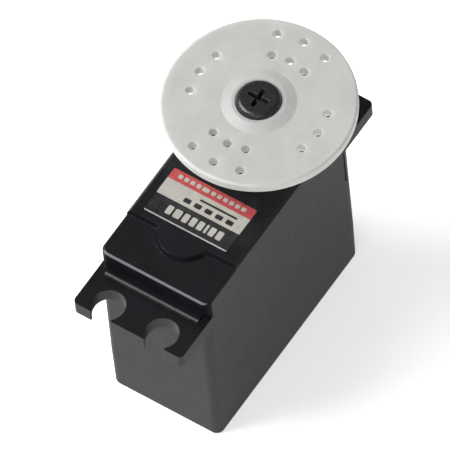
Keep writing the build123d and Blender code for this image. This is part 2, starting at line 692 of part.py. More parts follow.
with BuildPart() as armature_core:
    with BuildSketch(Plane.XY.offset(CORE_LOW)):
        with Locations((MOTOR_X, 0)):
            Circle(CORE_HUB_R)
            with PolarLocations(0, POLES):
                Rectangle(SHOE_IN + CAN_WALL, POLE_W, align=(Align.MIN, Align.CENTER))
    extrude(amount=CORE_HIGH - CORE_LOW)
    for pole in range(POLES):
        add(extrude(Pos(0, 0, CORE_LOW) * sector(MOTOR_X, SHOE_IN, CORE_R, pole * 2 * HALF_TURN / POLES,
                                                 SHOE_HALF_ANGLE),
                    amount=CORE_HIGH - CORE_LOW, mode=Mode.PRIVATE))
    with BuildSketch(Plane.XY.offset(CORE_LOW)):
        with Locations((MOTOR_X, 0)):
            Circle(ROTOR_R)
    extrude(amount=CORE_HIGH - CORE_LOW, mode=Mode.SUBTRACT)
save(armature_core, "armature_core")

with BuildPart() as armature_windings:
    with Locations((MOTOR_X, 0, (COIL_LOW + COIL_HIGH) / 2)):
        with PolarLocations((COIL_IN + COIL_OUT) / 2, POLES):
            Box(COIL_OUT - COIL_IN, COIL_W, COIL_HIGH - COIL_LOW)
    coil_corners = armature_windings.edges().filter_by(
        lambda edge: abs(edge.length - (COIL_OUT - COIL_IN)) < COIL_GAP
    )
    fillet(coil_corners, POLE_W / 2)
    with Locations((MOTOR_X, 0, (CORE_LOW + CORE_HIGH) / 2)):
        with PolarLocations((COIL_IN + COIL_OUT) / 2, POLES):
            Box(COIL_OUT, POLE_W + COIL_GAP, CORE_HIGH - CORE_LOW + COIL_GAP, mode=Mode.SUBTRACT)
save(armature_windings, "armature_windings")

with BuildPart() as commutator:
    with BuildSketch(Plane.XY.offset(COMMUTATOR_LOW)):
        with Locations((MOTOR_X, 0)):
            Circle(COMMUTATOR_R)
            Circle(ROTOR_R, mode=Mode.SUBTRACT)
            with PolarLocations(COMMUTATOR_R, POLES, start_angle=HALF_TURN / POLES):
                Rectangle(COMMUTATOR_SLIT, COMMUTATOR_SLIT, mode=Mode.SUBTRACT)
    extrude(amount=COMMUTATOR_HIGH - COMMUTATOR_LOW)
save(commutator, "commutator")

with BuildPart() as motor_screws:
    with BuildSketch(Plane.XY.offset(MOTOR_SCREW_LOW)):
        with Locations((MOTOR_X, MOTOR_SCREW_Y), (MOTOR_X, -MOTOR_SCREW_Y)):
            Circle(MOTOR_SCREW_R)
    extrude(amount=MOTOR_SCREW_SEAT - MOTOR_SCREW_LOW)
    with BuildSketch(Plane.XY.offset(MOTOR_SCREW_SEAT)):
        with Locations((MOTOR_X, MOTOR_SCREW_Y), (MOTOR_X, -MOTOR_SCREW_Y)):
            Circle(MOTOR_SCREW_HEAD_R)
    extrude(amount=MOTOR_SCREW_HEAD_T)
    with BuildSketch(Plane.XY.offset(MOTOR_SCREW_SEAT + MOTOR_SCREW_HEAD_T)):
        with Locations((MOTOR_X, MOTOR_SCREW_Y), (MOTOR_X, -MOTOR_SCREW_Y)):
            Rectangle(2 * MOTOR_SCREW_R, SLOT_W)
            Rectangle(SLOT_W, 2 * MOTOR_SCREW_R)
    extrude(amount=-SLOT_DEPTH, mode=Mode.SUBTRACT)
save(motor_screws, "motor_screws")

# ======================================================================================================
# Gear train
# ======================================================================================================

with BuildPart() as motor_pinion:
    add(extrude(gear_sketch(MOTOR_X, PINION_LOW, STAGE_1, "small", facing(STAGE_1, "small", 0)),
                amount=PINION_HIGH - PINION_LOW, mode=Mode.PRIVATE))
    with BuildSketch(Plane.XY.offset(PINION_LOW)):
        with Locations((MOTOR_X, 0)):
            Circle(ROTOR_R)
    extrude(amount=PINION_HIGH - PINION_LOW, mode=Mode.SUBTRACT)
save(motor_pinion, "motor_pinion")

with BuildPart() as first_gear:
    add(extrude(gear_sketch(IDLER_X, GEAR_1_LOW, STAGE_1, "large", facing(STAGE_1, "large", HALF_TURN)),
                amount=GEAR_1_MID - GEAR_1_LOW, mode=Mode.PRIVATE))
    add(extrude(gear_sketch(IDLER_X, GEAR_1_MID, STAGE_2, "small", facing(STAGE_2, "small", 0)),
                amount=GEAR_1_HIGH - GEAR_1_MID, mode=Mode.PRIVATE))
    with BuildSketch(Plane.XY.offset(GEAR_1_LOW)):
        with Locations((IDLER_X, 0)):
            Circle(IDLER_PIN_R + RUNNING_GAP)
            with PolarLocations(WEB_HOLE_RING, WEB_HOLES, start_angle=HALF_TURN / WEB_HOLES):
                Circle(WEB_HOLE_R)
    extrude(amount=GEAR_1_HIGH - GEAR_1_LOW, mode=Mode.SUBTRACT)
save(first_gear, "first_gear")

with BuildPart() as second_gear:
    add(extrude(gear_sketch(OUTPUT_X, GEAR_2_LOW, STAGE_2, "large", facing(STAGE_2, "large", HALF_TURN)),
                amount=GEAR_2_MID - GEAR_2_LOW, mode=Mode.PRIVATE))
    add(extrude(gear_sketch(OUTPUT_X, GEAR_2_MID, STAGE_3, "small", facing(STAGE_3, "small", HALF_TURN)),
                amount=GEAR_2_HIGH - GEAR_2_MID, mode=Mode.PRIVATE))
    with BuildSketch(Plane.XY.offset(GEAR_2_LOW)):
        with Locations((OUTPUT_X, 0)):
            Circle(STUB_R + RUNNING_GAP)
    extrude(amount=GEAR_2_HIGH - GEAR_2_LOW, mode=Mode.SUBTRACT)
save(second_gear, "second_gear")

with BuildPart() as third_gear:
    add(extrude(gear_sketch(IDLER_X, GEAR_3_LOW, STAGE_3, "large", facing(STAGE_3, "large", 0)),
                amount=GEAR_3_MID - GEAR_3_LOW, mode=Mode.PRIVATE))
    add(extrude(gear_sketch(IDLER_X, GEAR_3_MID, STAGE_4, "small", facing(STAGE_4, "small", 0)),
                amount=GEAR_3_HIGH - GEAR_3_MID, mode=Mode.PRIVATE))
    with BuildSketch(Plane.XY.offset(GEAR_3_LOW)):
        with Locations((IDLER_X, 0)):
            Circle(IDLER_PIN_R + RUNNING_GAP)
    extrude(amount=GEAR_3_HIGH - GEAR_3_LOW, mode=Mode.SUBTRACT)
save(third_gear, "third_gear")

with BuildPart() as output_gear:
    add(extrude(gear_sketch(OUTPUT_X, OUTPUT_LOW, STAGE_4, "large", facing(STAGE_4, "large", HALF_TURN)),
                amount=OUTPUT_HIGH - OUTPUT_LOW, mode=Mode.PRIVATE))
    # Shoulder, bearing seat and splined end.
    with BuildSketch(Plane.XY.offset(OUTPUT_HIGH)):
        with Locations((OUTPUT_X, 0)):
            Circle(SHOULDER_R)
    extrude(amount=BEARING_LOW - OUTPUT_HIGH)
    with BuildSketch(Plane.XY.offset(BEARING_LOW)):
        with Locations((OUTPUT_X, 0)):
            Circle(BEARING_SEAT_R)
    extrude(amount=SPLINE_LOW - BEARING_LOW)
    with BuildSketch(Plane.XY.offset(SPLINE_LOW)):
        with Locations((OUTPUT_X, 0)):
            Polygon(*spline_points(0.0), align=None)
    extrude(amount=SPLINE_HIGH - SPLINE_LOW)
    # Stop lug on the gear's upper face.
    add(extrude(Pos(0, 0, OUTPUT_HIGH) * sector(OUTPUT_X, LUG_IN, LUG_OUT, HALF_TURN, LUG_HALF_ANGLE),
                amount=LUG_TOP - OUTPUT_HIGH, mode=Mode.PRIVATE))
    # Stub that carries the second gear and turns the potentiometer, flat at its lower end.
    with BuildSketch(Plane.XY.offset(OUTPUT_LOW)):
        with Locations((OUTPUT_X, 0)):
            Circle(STUB_R)
    extrude(amount=STUB_FLAT_TOP - OUTPUT_LOW)
    with BuildSketch(Plane.XY.offset(STUB_FLAT_TOP)):
        with Locations((OUTPUT_X, 0)):
            Circle(STUB_R)
        with Locations((OUTPUT_X, STUB_FLAT)):
            Rectangle(2 * STUB_R, STUB_R, align=(Align.CENTER, Align.MIN), mode=Mode.SUBTRACT)
    extrude(amount=STUB_LOW - STUB_FLAT_TOP)
    # Screw hole in the splined end.
    with BuildSketch(Plane.XY.offset(SPLINE_HIGH)):
        with Locations((OUTPUT_X, 0)):
            Circle(SCREW_BORE_R)
    extrude(amount=SCREW_BORE_LOW - SPLINE_HIGH, mode=Mode.SUBTRACT)
save(output_gear, "output_gear")

with BuildPart() as idler_pin:
    with BuildSketch(Plane.XY.offset(IDLER_PIN_LOW)):
        with Locations((IDLER_X, 0)):
            Circle(IDLER_PIN_R)
    extrude(amount=IDLER_PIN_HIGH - IDLER_PIN_LOW)
save(idler_pin, "idler_pin")

with BuildPart() as output_bushing:
    with BuildSketch(Plane.XY.offset(DECK_BOTTOM)):
        with Locations((OUTPUT_X, 0)):
            Circle(OUT_BUSH_R)
    extrude(amount=DECK_TOP - DECK_BOTTOM)
    with BuildSketch(Plane.XY.offset(DECK_TOP)):
        with Locations((OUTPUT_X, 0)):
            Circle(OUT_BUSH_FLANGE_R)
    extrude(amount=OUT_BUSH_FLANGE_T)
    with BuildSketch(Plane.XY.offset(DECK_BOTTOM)):
        with Locations((OUTPUT_X, 0)):
            Circle(STUB_R + RUNNING_GAP)
    extrude(amount=DECK_TOP + OUT_BUSH_FLANGE_T - DECK_BOTTOM, mode=Mode.SUBTRACT)
save(output_bushing, "output_bushing")

# ======================================================================================================
# Ball bearing
# ======================================================================================================

BEARING_MID = (BEARING_LOW + BEARING_HIGH) / 2

with BuildPart() as bearing_outer_ring:
    with BuildSketch(Plane.XY.offset(BEARING_LOW)):
        with Locations((OUTPUT_X, 0)):
            Circle(BEARING_OUT_R)
            Circle(OUTER_RING_R, mode=Mode.SUBTRACT)
    extrude(amount=BEARING_HIGH - BEARING_LOW)
    with Locations((OUTPUT_X, 0, BEARING_MID)):
        Torus(BALL_RING_R, BALL_R + BALL_GAP, mode=Mode.SUBTRACT)
save(bearing_outer_ring, "bearing_outer_ring")

with BuildPart() as bearing_inner_ring:
    with BuildSketch(Plane.XY.offset(BEARING_LOW)):
        with Locations((OUTPUT_X, 0)):
            Circle(INNER_RING_R)
            Circle(BEARING_SEAT_R, mode=Mode.SUBTRACT)
    extrude(amount=BEARING_HIGH - BEARING_LOW)
    with Locations((OUTPUT_X, 0, BEARING_MID)):
        Torus(BALL_RING_R, BALL_R + BALL_GAP, mode=Mode.SUBTRACT)
save(bearing_inner_ring, "bearing_inner_ring")

with BuildPart() as bearing_balls:
    with Locations((OUTPUT_X, 0, BEARING_MID)):
        with PolarLocations(BALL_RING_R, BALL_COUNT):
            Sphere(BALL_R)
save(bearing_balls, "bearing_balls")

with BuildPart() as bearing_cage:
    with BuildSketch(Plane.XY.offset(BEARING_MID - CAGE_HALF_H)):
        with Locations((OUTPUT_X, 0)):
            Circle(CAGE_OUT)
            Circle(CAGE_IN, mode=Mode.SUBTRACT)
    extrude(amount=2 * CAGE_HALF_H)
    with Locations((OUTPUT_X, 0, BEARING_MID)):
        with PolarLocations(BALL_RING_R, BALL_COUNT):
            Cylinder(BALL_R + POCKET_GAP, 2 * BALL_R, rotation=(0, RIGHT_ANGLE, 0), mode=Mode.SUBTRACT)
save(bearing_cage, "bearing_cage")

# ======================================================================================================
# Horn
# ======================================================================================================

with BuildPart() as horn:
    # Disc with rounded rims, hub below, raised ring above.
    with BuildSketch(Plane.XY.offset(HORN_LOW)):
        with Locations((OUTPUT_X, 0)):
            Circle(HORN_R)
    extrude(amount=HORN_TOP - HORN_LOW)
    fillet(horn.edges(), HORN_EDGE_R)
    with BuildSketch(Plane.XZ):
        with BuildLine():
            Polyline(
                (OUTPUT_X, HUB_LOW),
                (OUTPUT_X + HUB_R, HUB_LOW),
                (OUTPUT_X + HUB_R, HORN_LOW - HUB_FLARE_H),
                (OUTPUT_X + HUB_FLARE_R, HORN_LOW),
                (OUTPUT_X + RING_FOOT_R, HORN_TOP),
                (OUTPUT_X + RING_R, RING_TOP),
                (OUTPUT_X, RING_TOP),
                close=True,
            )
        make_face()
    revolve(axis=Axis((OUTPUT_X, 0, 0), (0, 0, 1)))
    # Screw recess, screw hole and splined bore.
    with BuildSketch(Plane.XY.offset(RING_TOP)):
        with Locations((OUTPUT_X, 0)):
            Circle(RECESS_R)
    extrude(amount=RECESS_FLOOR - RING_TOP, mode=Mode.SUBTRACT)
    with BuildSketch(Plane.XY.offset(HORN_BORE_TOP)):
        with Locations((OUTPUT_X, 0)):
            Circle(HORN_SCREW_HOLE_R)
    extrude(amount=RECESS_FLOOR - HORN_BORE_TOP, mode=Mode.SUBTRACT)
    with BuildSketch(Plane.XY.offset(HUB_LOW)):
        with Locations((OUTPUT_X, 0)):
            Polygon(*spline_points(SPLINE_GAP), align=None)
    extrude(amount=HORN_BORE_TOP - HUB_LOW, mode=Mode.SUBTRACT)
    # Link holes: two rows of three on each end of the long axis, one row of three on each side.
    link_points = [polar(r, start + turn * LINK_HOLE_SPREAD)
                   for start in (0.0, HALF_TURN) for r in LINK_RINGS_X for turn in (-1, 0, 1)]
    link_points += [polar(LINK_RING_Y, start + turn * LINK_HOLE_SPREAD)
                    for start in (RIGHT_ANGLE, -RIGHT_ANGLE) for turn in (-1, 0, 1)]
    with BuildSketch(Plane.XY.offset(HORN_TOP)):
        with Locations((OUTPUT_X, 0)):
            with Locations(*link_points):
                Circle(LINK_HOLE_R)
    extrude(amount=HORN_LOW - HORN_TOP, mode=Mode.SUBTRACT)
save(horn, "horn")

with BuildPart() as horn_screw:
    with BuildSketch(Plane.XY.offset(RECESS_FLOOR)):
        with Locations((OUTPUT_X, 0)):
            Circle(SCREW_HEAD_R)
    extrude(amount=SCREW_HEAD_TOP - RECESS_FLOOR)
    fillet(horn_screw.edges().group_by(Axis.Z)[-1], SCREW_HEAD_ROUND)
    with BuildSketch(Plane.XY.offset(RECESS_FLOOR)):
        with Locations((OUTPUT_X, 0)):
            Circle(SCREW_R)
    extrude(amount=SCREW_LOW - RECESS_FLOOR)
    # Cross recess, narrower at its foot.
    for turn in (0.0, RIGHT_ANGLE):
        with BuildSketch(Plane.XY.offset(SCREW_HEAD_TOP)):
            with Locations(Location((OUTPUT_X, 0), turn)):
                Rectangle(CROSS_L, CROSS_W)
        with BuildSketch(Plane.XY.offset(SCREW_HEAD_TOP - CROSS_DEPTH)):
            with Locations(Location((OUTPUT_X, 0), turn)):
                Rectangle(CROSS_L * CROSS_FOOT, CROSS_W * CROSS_FOOT)
        loft(mode=Mode.SUBTRACT)
save(horn_screw, "horn_screw")

# ======================================================================================================
# Potentiometer
# ======================================================================================================

with BuildPart() as pot_housing:
    with BuildSketch(Plane.XY.offset(POT_LOW)):
        with Locations((OUTPUT_X, 0)):
            Circle(POT_R)
    extrude(amount=POT_HIGH - POT_LOW)
    with BuildSketch(Plane.XY.offset(POT_HIGH)):
        with Locations((OUTPUT_X, 0)):
            Circle(POT_NECK_R)
    extrude(amount=DECK_BOTTOM - POT_HIGH)
    with BuildSketch(Plane.XY.offset(POT_LOW)):
        with Locations((OUTPUT_X, 0)):
            Circle(POT_R - POT_WALL)
    extrude(amount=POT_HIGH - POT_ROOF_T - POT_LOW, mode=Mode.SUBTRACT)
    with BuildSketch(Plane.XY.offset(POT_LOW)):
        with Locations((OUTPUT_X, 0)):
            Circle(POT_NECK_BORE)
    extrude(amount=DECK_BOTTOM - POT_LOW, mode=Mode.SUBTRACT)
    # Gap in the rim where the terminals leave.
    with Locations((OUTPUT_X - POT_R, 0, POT_LOW)):
        Box(2 * POT_R - 2 * POT_NECK_BORE, 2 * POT_PIN_Y[-1] + 2 * POT_PIN_W, TRACK_T,
            align=(Align.CENTER, Align.CENTER, Align.MIN), mode=Mode.SUBTRACT)
save(pot_housing, "pot_housing")

with BuildPart() as pot_track:
    with BuildSketch(Plane.XY.offset(POT_LOW)):
        with Locations((OUTPUT_X, 0)):
            Circle(POT_R - POT_WALL)
    extrude(amount=TRACK_T)
    for y in POT_PIN_Y:
        with Locations((POT_PIN_X[0], y, POT_LOW)):
            Box(POT_PIN_X[1] - POT_PIN_X[0], POT_PIN_W, POT_PIN_T, align=(Align.MIN, Align.CENTER, Align.MIN))
save(pot_track, "pot_track")

with BuildPart() as pot_rotor:
    with BuildSketch(Plane.XY.offset(POT_HUB_LOW)):
        with Locations((OUTPUT_X, 0)):
            Circle(POT_HUB_R)
    extrude(amount=POT_HUB_HIGH - POT_HUB_LOW)
    with BuildSketch(Plane.XY.offset(WIPER_LOW)):
        with Locations((OUTPUT_X, 0)):
            Circle(WIPER_R)
    extrude(amount=WIPER_HIGH - WIPER_LOW)
    with BuildSketch(Plane.XY.offset(POT_HUB_HIGH)):
        with Locations((OUTPUT_X, 0)):
            Circle(STUB_R + SPLINE_GAP)
        with Locations((OUTPUT_X, STUB_FLAT + SPLINE_GAP)):
            Rectangle(
                2 * STUB_R + 2 * SPLINE_GAP,
                STUB_R,
                align=(Align.CENTER, Align.MIN),
                mode=Mode.SUBTRACT,
            )
    extrude(amount=STUB_LOW - SPLINE_GAP - POT_HUB_HIGH, mode=Mode.SUBTRACT)
save(pot_rotor, "pot_rotor")

with BuildPart() as pot_leads:
    for y in POT_PIN_Y:
        with BuildLine() as lead_path:
            FilletPolyline(
                (POT_PIN_X[0] + LEAD_R, y, POT_LOW),
                (POT_PIN_X[0] + LEAD_R, y, POT_LOW - 2 * LEAD_BEND_R),
                (LEAD_OUT_X, y, (POT_LOW + BOARD_HIGH) / 2),
                (LEAD_FOOT_X, y, BOARD_HIGH + 2 * LEAD_BEND_R),
                (LEAD_FOOT_X, y, BOARD_HIGH),
                radius=LEAD_BEND_R,
            )
        with BuildSketch(Plane(origin=lead_path.line @ 0, z_dir=lead_path.line % 0)):
            Circle(LEAD_R)
        sweep(path=lead_path.line)
save(pot_leads, "pot_leads")

# ======================================================================================================
# Control board
# ======================================================================================================

with BuildPart() as control_board:
    with BuildSketch(Plane.XY.offset(BOARD_LOW)):
        Rectangle(BOARD_L, BOARD_W)
        with Locations(*POSTS):
            Circle(BOARD_NOTCH_R, mode=Mode.SUBTRACT)
        with Locations(*[(sx * BOARD_L / 2, sy * BOARD_W / 2) for sx in (-1, 1) for sy in (-1, 1)]):
            Rectangle(2 * BOARD_NOTCH_R, 2 * BOARD_NOTCH_R, mode=Mode.SUBTRACT)
        with Locations((MOTOR_X - TERMINAL_X, 0), (MOTOR_X + TERMINAL_X, 0)):
            Rectangle(TERMINAL_T + 2 * RUNNING_GAP, TERMINAL_W + 2 * RUNNING_GAP, mode=Mode.SUBTRACT)
    extrude(amount=BOARD_HIGH - BOARD_LOW)
save(control_board, "control_board")

with BuildPart() as controller_chip:
    with Locations((*CHIP_POS, BOARD_HIGH)):
        Box(CHIP_L, CHIP_W, CHIP_T, align=(Align.CENTER, Align.CENTER, Align.MIN))
        with GridLocations(CHIP_PIN_PITCH, 0, CHIP_PINS, 1):
            Box(
                CHIP_PIN_W,
                CHIP_W + 2 * CHIP_PIN_REACH,
                CHIP_PIN_T,
                align=(Align.CENTER, Align.CENTER, Align.MIN),
            )
save(controller_chip, "controller_chip")

with BuildPart() as driver_chips:
    for spot in DRIVER_POS:
        with Locations((*spot, BOARD_LOW)):
            Box(DRIVER_L, DRIVER_W, DRIVER_T, align=(Align.CENTER, Align.CENTER, Align.MAX))
save(driver_chips, "driver_chips")

with BuildPart() as board_passives:
    for spot in PASSIVE_POS:
        with Locations((*spot, BOARD_HIGH)):
            Box(PASSIVE_L, PASSIVE_W, PASSIVE_T, align=(Align.CENTER, Align.CENTER, Align.MIN))
save(board_passives, "board_passives")

with BuildPart() as board_capacitor:
    with Locations((*CAPACITOR_POS, BOARD_HIGH)):
        Box(CAPACITOR_L, CAPACITOR_W, CAPACITOR_T, align=(Align.CENTER, Align.CENTER, Align.MIN))
    chamfer(board_capacitor.edges().group_by(Axis.Z)[-1], CAN_WALL / 2)
save(board_capacitor, "board_capacitor")

# ======================================================================================================
# Cable grommet
# ======================================================================================================

with BuildPart() as cable_grommet:
    # Neck in the wall's notch with a lip on each side of the wall.
    with Locations((CASE_L / 2 - WALL - BASE_INSET - GROMMET_INSIDE, 0, GROMMET_LOW)):
        Box(WALL + BASE_INSET + GROMMET_INSIDE + GROMMET_PROUD, GROMMET_W, LOWER_SEAM - GROMMET_LOW,
            align=(Align.MIN, Align.CENTER, Align.MIN))
    with Locations((CASE_L / 2, 0, GROMMET_LOW - GROMMET_LIP)):
        Box(GROMMET_PROUD, GROMMET_W + 2 * GROMMET_LIP, LOWER_SEAM - GROMMET_LOW + 2 * GROMMET_LIP,
            align=(Align.MIN, Align.CENTER, Align.MIN))
    fillet(cable_grommet.edges().group_by(Axis.X)[-1], GROMMET_EDGE_R)
    with Locations((CASE_L / 2, 0, GROMMET_SLOT_Z)):
        Box(CASE_L, GROMMET_SLOT_W, GROMMET_SLOT_H, mode=Mode.SUBTRACT)
save(cable_grommet, "cable_grommet")
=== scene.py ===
import json
import math

import bmesh
import bpy
from mathutils import Matrix, Vector


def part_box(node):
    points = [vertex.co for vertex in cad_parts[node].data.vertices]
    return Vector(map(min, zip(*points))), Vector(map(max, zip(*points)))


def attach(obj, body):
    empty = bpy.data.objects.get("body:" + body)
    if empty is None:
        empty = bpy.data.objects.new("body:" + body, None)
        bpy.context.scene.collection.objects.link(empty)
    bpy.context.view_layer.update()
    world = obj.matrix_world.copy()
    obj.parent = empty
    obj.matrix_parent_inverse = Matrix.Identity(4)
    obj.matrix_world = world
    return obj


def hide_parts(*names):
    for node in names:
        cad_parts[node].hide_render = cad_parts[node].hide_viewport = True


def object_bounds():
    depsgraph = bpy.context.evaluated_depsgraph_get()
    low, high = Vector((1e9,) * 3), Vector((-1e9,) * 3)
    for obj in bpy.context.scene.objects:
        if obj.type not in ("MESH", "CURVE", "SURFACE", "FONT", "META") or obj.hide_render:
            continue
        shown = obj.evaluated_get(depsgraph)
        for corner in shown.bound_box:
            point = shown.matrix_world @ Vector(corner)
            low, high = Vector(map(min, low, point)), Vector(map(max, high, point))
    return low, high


MM = 0.001

# The tabs' tops stand at this height; the end wall above them is as smooth as the roof.
POLISHED_FROM = 27.4 * MM
# Strength and reach of the glow painted on the walls of the horn's link holes.
HORN_PAINTED_GLOW, HORN_PAINTED_GLOW_REACH = 0.11, 11.9 * MM
# A highlight is painted on the rounded edge between the end wall and the roof beyond this place.
END_EDGE_X, END_EDGE_Z = -15.4 * MM, 30.0 * MM

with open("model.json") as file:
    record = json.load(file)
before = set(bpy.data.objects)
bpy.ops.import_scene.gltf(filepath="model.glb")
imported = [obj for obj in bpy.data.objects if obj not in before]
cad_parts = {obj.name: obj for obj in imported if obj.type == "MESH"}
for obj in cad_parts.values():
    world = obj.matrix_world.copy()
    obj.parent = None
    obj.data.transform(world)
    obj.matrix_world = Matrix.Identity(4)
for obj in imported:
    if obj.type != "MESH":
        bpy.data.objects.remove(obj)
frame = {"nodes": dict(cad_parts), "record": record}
cad_low, cad_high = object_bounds()
nodes = frame["nodes"]


# ------------------------------------------------------------------------------------------------
# Node helpers
# ------------------------------------------------------------------------------------------------

class Shader:
    """A Principled material and short names for the nodes that feed it."""

    def __init__(self, name):
        self.material = bpy.data.materials.new(name)
        self.material.use_nodes = True
        self.tree = self.material.node_tree
        self.tree.nodes.clear()
        self.output = self.node("ShaderNodeOutputMaterial")
        self.bsdf = self.node("ShaderNodeBsdfPrincipled")
        self.link(self.bsdf.outputs["BSDF"], self.output.inputs["Surface"])
        self.coords = self.node("ShaderNodeTexCoord")
        self.place = self.coords.outputs["Object"]

    def node(self, kind, **settings):
        made = self.tree.nodes.new(kind)
        for key, value in settings.items():
            setattr(made, key, value)
        return made

    def link(self, source, target):
        self.tree.links.new(source, target)

    def put(self, socket, value):
        """Link a socket or set a plain value."""
        if isinstance(value, bpy.types.NodeSocket):
            self.link(value, socket)
        else:
            socket.default_value = value

    def noise(self, scale, detail=3.0, roughness=0.5, place=None, distortion=0.0):
        made = self.node("ShaderNodeTexNoise")
        self.link(place or self.place, made.inputs["Vector"])
        made.inputs["Scale"].default_value = scale
        made.inputs["Detail"].default_value = detail
        made.inputs["Roughness"].default_value = roughness
        made.inputs["Distortion"].default_value = distortion
        return made.outputs["Fac"]

    def cells(self, scale, feature="F1", place=None):
        made = self.node("ShaderNodeTexVoronoi", feature=feature)
        self.link(place or self.place, made.inputs["Vector"])
        made.inputs["Scale"].default_value = scale
        return made.outputs["Distance"]

    def stretched(self, x, y, z, turn=(0.0, 0.0, 0.0)):
        """Object place scaled differently along each axis, for brushed grain."""
        made = self.node("ShaderNodeMapping")
        self.link(self.place, made.inputs["Vector"])
        made.inputs["Scale"].default_value = (x, y, z)
        made.inputs["Rotation"].default_value = turn
        return made.outputs["Vector"]

    def fit(self, value, low, high, to_low=0.0, to_high=1.0, smooth=False):
        made = self.node("ShaderNodeMapRange", clamp=True)
        if smooth:
            made.interpolation_type = "SMOOTHSTEP"
        self.link(value, made.inputs["Value"])
        made.inputs["From Min"].default_value = low
        made.inputs["From Max"].default_value = high
        made.inputs["To Min"].default_value = to_low
        made.inputs["To Max"].default_value = to_high
        return made.outputs["Result"]

    def maths(self, operation, a, b=0.0, clamp=False):
        made = self.node("ShaderNodeMath", operation=operation, use_clamp=clamp)
        self.put(made.inputs[0], a)
        self.put(made.inputs[1], b)
        return made.outputs["Value"]

    def blend(self, factor, a, b, mode="MIX"):
        made = self.node("ShaderNodeMix", data_type="RGBA", blend_type=mode)
        self.put(made.inputs["Factor"], factor)
        self.put(made.inputs["A"], (*a, 1.0) if isinstance(a, tuple) else a)
        self.put(made.inputs["B"], (*b, 1.0) if isinstance(b, tuple) else b)
        return made.outputs["Result"]

    def lerp(self, factor, a, b):
        made = self.node("ShaderNodeMix", data_type="FLOAT")
        self.put(made.inputs["Factor"], factor)
        self.put(made.inputs["A"], a)
        self.put(made.inputs["B"], b)
        return made.outputs["Result"]

    def glossy_walls(self, floor_z):
        """1 on walls that face along the case and stand above a height, 0 elsewhere."""
        facing = self.node("ShaderNodeSeparateXYZ")
        self.link(self.coords.outputs["Normal"], facing.inputs["Vector"])
        along = self.fit(self.maths("ABSOLUTE", facing.outputs["X"]), 0.15, 0.35, smooth=True)
        split = self.node("ShaderNodeSeparateXYZ")
        self.link(self.place, split.inputs["Vector"])
        return self.maths("MULTIPLY", along, self.fit(split.outputs["Z"], floor_z, floor_z + 0.2 * MM))

    def beyond(self, x, z):
        """1 nearer the motor end than x and above z."""
        split = self.node("ShaderNodeSeparateXYZ")
        self.link(self.place, split.inputs["Vector"])
        end = self.fit(split.outputs["X"], x + 0.3 * MM, x, smooth=True)
        return self.maths("MULTIPLY", end, self.fit(split.outputs["Z"], z, z + 0.3 * MM, smooth=True))

    def slanted(self):
        """1 on the rounded edge between a wall across the case and its roof."""
        facing = self.node("ShaderNodeSeparateXYZ")
        self.link(self.coords.outputs["Normal"], facing.inputs["Vector"])
        product = self.maths("MULTIPLY", self.maths("ABSOLUTE", facing.outputs["X"]), facing.outputs["Z"])
        return self.fit(product, 0.25, 0.45, smooth=True)

    def bores(self, centre, reach):
        """1 on upright walls inside a radius, such as the walls of small holes."""
        offset = self.node("ShaderNodeVectorMath", operation="SUBTRACT")
        self.link(self.place, offset.inputs[0])
        offset.inputs[1].default_value = centre
        flat = self.node("ShaderNodeVectorMath", operation="MULTIPLY")
        self.link(offset.outputs["Vector"], flat.inputs[0])
        flat.inputs[1].default_value = (1.0, 1.0, 0.0)
        length = self.node("ShaderNodeVectorMath", operation="LENGTH")
        self.link(flat.outputs["Vector"], length.inputs[0])
        facing = self.node("ShaderNodeSeparateXYZ")
        self.link(self.coords.outputs["Normal"], facing.inputs["Vector"])
        upright = self.fit(self.maths("ABSOLUTE", facing.outputs["Z"]), 0.5, 0.2)
        return self.maths("MULTIPLY", upright, self.fit(length.outputs["Value"], reach, reach - 0.3 * MM))

    def upness(self, low=0.8, high=0.98):
        """1 on faces that look up, 0 on walls."""
        split = self.node("ShaderNodeSeparateXYZ")
        self.link(self.coords.outputs["Normal"], split.inputs["Vector"])
        return self.fit(split.outputs["Z"], low, high, smooth=True)

    def rounded(self, radius):
        """Normal with every sharp edge softened by a small radius."""
        made = self.node("ShaderNodeBevel", samples=6)
        made.inputs["Radius"].default_value = radius
        return made.outputs["Normal"]

    def edges(self, radius, low=0.02, high=0.25):
        """1 along sharp edges, 0 on open faces."""
        made = self.node("ShaderNodeBevel", samples=6)
        made.inputs["Radius"].default_value = radius
        geometry = self.node("ShaderNodeNewGeometry")
        dot = self.node("ShaderNodeVectorMath", operation="DOT_PRODUCT")
        self.link(made.outputs["Normal"], dot.inputs[0])
        self.link(geometry.outputs["Normal"], dot.inputs[1])
        return self.fit(self.maths("SUBTRACT", 1.0, dot.outputs["Value"]), low, high)

    def bump(self, height, distance, strength=1.0, normal=None):
        made = self.node("ShaderNodeBump")
        self.link(height, made.inputs["Height"])
        made.inputs["Distance"].default_value = distance
        self.put(made.inputs["Strength"], strength)
        if normal is not None:
            self.link(normal, made.inputs["Normal"])
        return made.outputs["Normal"]

    def set(self, **values):
        names = {"color": "Base Color", "rough": "Roughness", "metal": "Metallic", "normal": "Normal",
                 "coat": "Coat Weight", "coat_rough": "Coat Roughness", "specular": "Specular IOR Level",
                 "ior": "IOR", "subsurface": "Subsurface Weight", "scatter": "Subsurface Scale",
                 "radius": "Subsurface Radius", "sheen": "Sheen Weight", "anisotropy": "Anisotropic"}
        for key, value in values.items():
            if isinstance(value, tuple) and key == "color":
                value = (*value, 1.0)
            self.put(self.bsdf.inputs[names[key]], value)
        return self.material


# ------------------------------------------------------------------------------------------------
# Materials
# ------------------------------------------------------------------------------------------------

